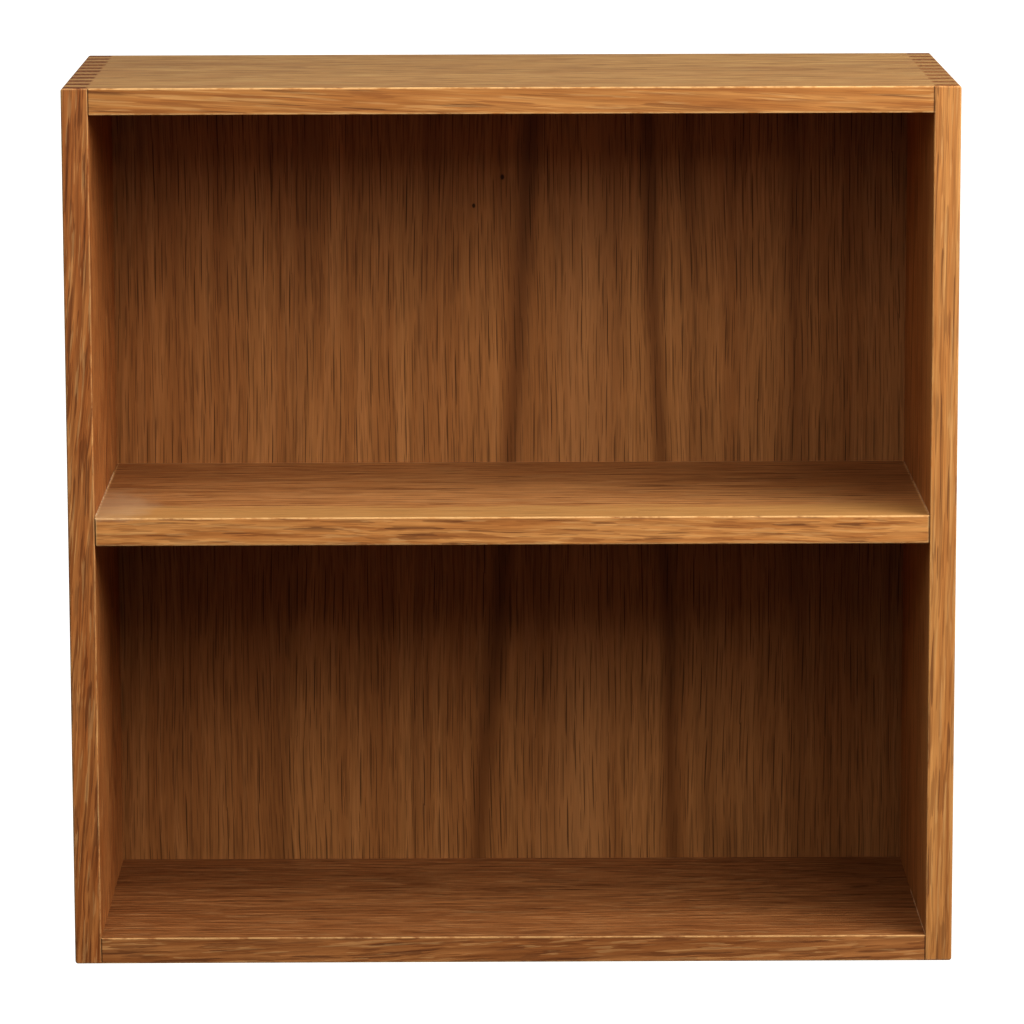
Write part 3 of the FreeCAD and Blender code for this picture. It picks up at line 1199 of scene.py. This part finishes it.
@dataclass(frozen=True)
class Shelf:
    """The middle shelf and the glue lines of its ends and of the bottom board."""

    smear_place: Point = (0.006, 0.04, 0.0)  # from the upper face's front left corner
    smear_reach: Point = (0.034, 0.07, 0.004)

    def glue_lines(self) -> list[GlueLine]:
        """The three glue lines that show."""
        low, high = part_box("middle_shelf")
        front, rear, top = low[1], high[1], high[2]
        left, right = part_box("left_side")[1][0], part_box("right_side")[0][0]
        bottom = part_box("bottom_board")[1][2]
        return [
            GlueLine("glue_line_shelf_left", left, top, 1, front + 0.002, rear - 0.03, 0.0009, 0.4),
            GlueLine("glue_line_shelf_right", right, top, -1, front + 0.002, rear - 0.002, 0.0007, 1.9),
            GlueLine("glue_line_bottom_right", right, bottom, -1, front + 0.001, rear - 0.08, 0.0006, 2.7),
        ]

    def build(self) -> None:
        """Dresses the shelf and adds the glue lines."""
        low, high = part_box("middle_shelf")
        corner = (low[0], low[1], high[2])
        smear_centre = tuple(a + b for a, b in zip(corner, self.smear_place))
        smear = GlueSmear(smear_centre, self.smear_reach)
        oak = Oak(
            "shelf_oak", Axis.X, (0.64, 0.55, 1.83), lean=0.012,
            upper_face_sheen_and_shade=(0.78, 0.80, 0.90), joint=high[0], sapwood=0.036,
        )
        dress("middle_shelf", oak.build((low, high), smear))
        glue = DryGlue().build()
        for line in self.glue_lines():
            finish_piece(line.build(), glue)


@dataclass(frozen=True)
class Hanging:
    """The rail behind the panel, its keyhole plates and their screws."""

    sides: tuple[str, str] = ("left", "right")
    rows: tuple[str, str] = ("upper", "lower")

    def build(self) -> None:
        """Dresses the rail and the plates, and puts threaded screws in place of the plain ones."""
        oak = Oak("rail_oak", Axis.X, (0.35, 1.61, 0.52), gloss=0.58, pale=(0.56, 0.33, 0.15))
        dress("hanging_rail", oak.build(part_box("hanging_rail")))
        plate = ZincPlate("zinc_plate").build()
        steel = ZincPlate("screw_steel", colour=(0.62, 0.6, 0.55), roughness=0.27).build()
        for side in self.sides:
            dress(f"keyhole_plate_{side}", plate)
            for row in self.rows:
                screw = WoodScrew(f"plate_screw_{side}_{row}")
                piece = screw.build()
                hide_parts(screw.node)
                finish_piece(piece, steel)


@dataclass(frozen=True)
class Dowels:
    """The dowels of the shelf and of the rail."""

    def nodes(self) -> list[str]:
        """The names of the plain dowels."""
        return sorted(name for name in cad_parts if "_dowel_" in name)

    def build(self) -> None:
        """Puts fluted dowels in place of the plain ones."""
        beech = Beech().build()
        for node in self.nodes():
            piece = FlutedDowel(node).build()
            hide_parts(node)
            finish_piece(piece, beech)


@dataclass(frozen=True)
class SoftBox:
    """A square studio lamp with a diffuser."""

    name: str
    elevation: float  # degrees above the level of the point that it is aimed at
    azimuth: float  # degrees to the right of straight ahead
    watts: float
    size: float = 0.7
    distance: float = 1.7

    def build(self, aim: Point) -> None:
        """Adds the lamp on a sphere around a point, turned towards the point.

        Args:
            aim: The point.
        """
        up, round_ = math.radians(self.elevation), math.radians(self.azimuth)
        level = self.distance * math.cos(up)
        away = (level * math.sin(round_), -level * math.cos(round_), self.distance * math.sin(up))
        place = tuple(a + b for a, b in zip(aim, away))
        lamp = bpy.data.lights.new(self.name, "AREA")
        lamp.shape = "SQUARE"
        lamp.size = self.size
        lamp.energy = self.watts
        holder = bpy.data.objects.new(self.name, lamp)
        holder.location = place
        holder.rotation_euler = turned_to(place, aim)
        holder.visible_camera = False
        bpy.context.scene.collection.objects.link(holder)


def turned_to(place: Point, aim: Point, roll: float = 0.0) -> tuple[float, float, float]:
    """The rotation of a lamp or camera at a place that looks at a point."""
    turn = (Vector(aim) - Vector(place)).to_track_quat("-Z", "Y")
    return tuple((turn @ Quaternion((0.0, 0.0, 1.0), roll)).to_euler())


@dataclass(frozen=True)
class Studio:
    """The camera, the lamps, the white surroundings and the floor."""

    camera_place: Point = (-0.0143, -3.1545, 0.321)
    camera_aim: Point = (0.0003, -0.105, -0.2115)
    camera_roll: float = -0.0027  # radians
    lens: float = 186.9  # millimetres, on a sensor 36 wide
    floor_drop: float = 0.6  # below the case, which hangs on a wall
    floor_half: float = 1.4
    floor_fade: Range = (0.45, 0.97)  # from opaque to clear, as shares of the half width
    floor_pale: Colour = (0.84, 0.84, 0.83)
    floor_grey: Colour = (0.80, 0.80, 0.79)
    behind_range: Range = (-0.15, 0.5)  # of the direction towards +Y, from dim to bright
    behind_light: float = 0.27
    lamps: tuple[SoftBox, ...] = (
        SoftBox("right_front_lamp", 30, 35, 10.5),
        SoftBox("right_lamp", 28, 65, 10.4),
        SoftBox("right_high_lamp", 44, 65, 13.0),
        SoftBox("left_front_lamp", 30, -25, 3.7),
        SoftBox("low_lamp", 14, 0, 1.5),
        SoftBox("high_lamp", 44, -12, 2.6),
        SoftBox("left_high_lamp", 60, -55, 2.9),
        SoftBox("overhead_lamp", 75, -25, 6.4),
    )
    lamp_aim: Point = (0.0, -0.21, -0.2)

    def build_camera(self) -> None:
        """Adds the camera."""
        camera = bpy.data.cameras.new("camera")
        camera.lens = self.lens
        camera.sensor_width = 36.0
        holder = bpy.data.objects.new("camera", camera)
        holder.location = self.camera_place
        holder.rotation_euler = turned_to(self.camera_place, self.camera_aim, self.camera_roll)
        bpy.context.scene.collection.objects.link(holder)
        bpy.context.scene.camera = holder

    def build_floor(self) -> None:
        """Adds the plain pale floor, which fades into the surroundings towards its rim."""
        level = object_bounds()[0][2] - self.floor_drop
        edge = self.floor_half
        corners = [(-edge, -edge, level), (edge, -edge, level), (edge, edge, level), (-edge, edge, level)]
        mesh = bpy.data.meshes.new("floor")
        mesh.from_pydata(corners, [], [(0, 1, 2, 3)])
        floor = bpy.data.objects.new("floor", mesh)
        bpy.context.scene.collection.objects.link(floor)
        material, graph = new_material("floor_paint")
        place = graph.object_place()
        roller = graph.noise(place, 30.0, 3.0).outputs["Fac"]
        paint = graph.blend(roller, self.floor_grey, self.floor_pale)
        shader = graph.add("ShaderNodeBsdfPrincipled", {"Base Color": paint, "Roughness": 0.8})
        x, y, _ = graph.split(place)
        away = graph.vector("LENGTH", graph.join(x, y, 0.0))
        gone = graph.step(away, *(edge * share for share in self.floor_fade))
        clear = graph.add("ShaderNodeBsdfTransparent")
        inputs = {0: gone, 1: shader.outputs[0], 2: clear.outputs[0]}
        close_material(graph, graph.add("ShaderNodeMixShader", inputs))
        mesh.materials.append(material)
        floor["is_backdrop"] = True

    def build_surroundings(self) -> None:
        """Makes the surroundings white to look at, bright behind the case and dim before it."""
        world = bpy.data.worlds.new("surroundings")
        world.use_nodes = True
        bpy.context.scene.world = world
        graph = Graph(world.node_tree)
        direction = graph.add("ShaderNodeTexCoord").outputs["Generated"]
        behind = graph.step(graph.split(direction)[1], *self.behind_range)
        white = (1.0, 1.0, 1.0, 1.0)
        strength = graph.span(behind, 0.0, self.behind_light)
        light = graph.add("ShaderNodeBackground", {"Color": white, "Strength": strength})
        backdrop = graph.add("ShaderNodeBackground", {"Color": white, "Strength": 1.0})
        seen = graph.add("ShaderNodeLightPath").outputs["Is Camera Ray"]
        inputs = {0: seen, 1: light.outputs[0], 2: backdrop.outputs[0]}
        mixed = graph.add("ShaderNodeMixShader", inputs)
        graph.add("ShaderNodeOutputWorld", {"Surface": mixed.outputs[0]})

    def build(self) -> None:
        """Sets up the studio."""
        self.build_camera()
        self.build_floor()
        self.build_surroundings()
        for lamp in self.lamps:
            lamp.build(self.lamp_aim)
        view = bpy.context.scene.view_settings
        view.view_transform = "Standard"
        view.look = "Medium High Contrast"
        log.info("studio: camera, %d lamps, floor", len(self.lamps))


def main() -> None:
    """Builds and dresses the showcase, then the studio."""
    logging.basicConfig(level=logging.INFO, format="%(message)s")
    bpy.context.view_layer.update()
    Case().build()
    BackPanel().build()
    Shelf().build()
    Hanging().build()
    Dowels().build()
    Studio().build()


if __name__ == "__main__":
    main()
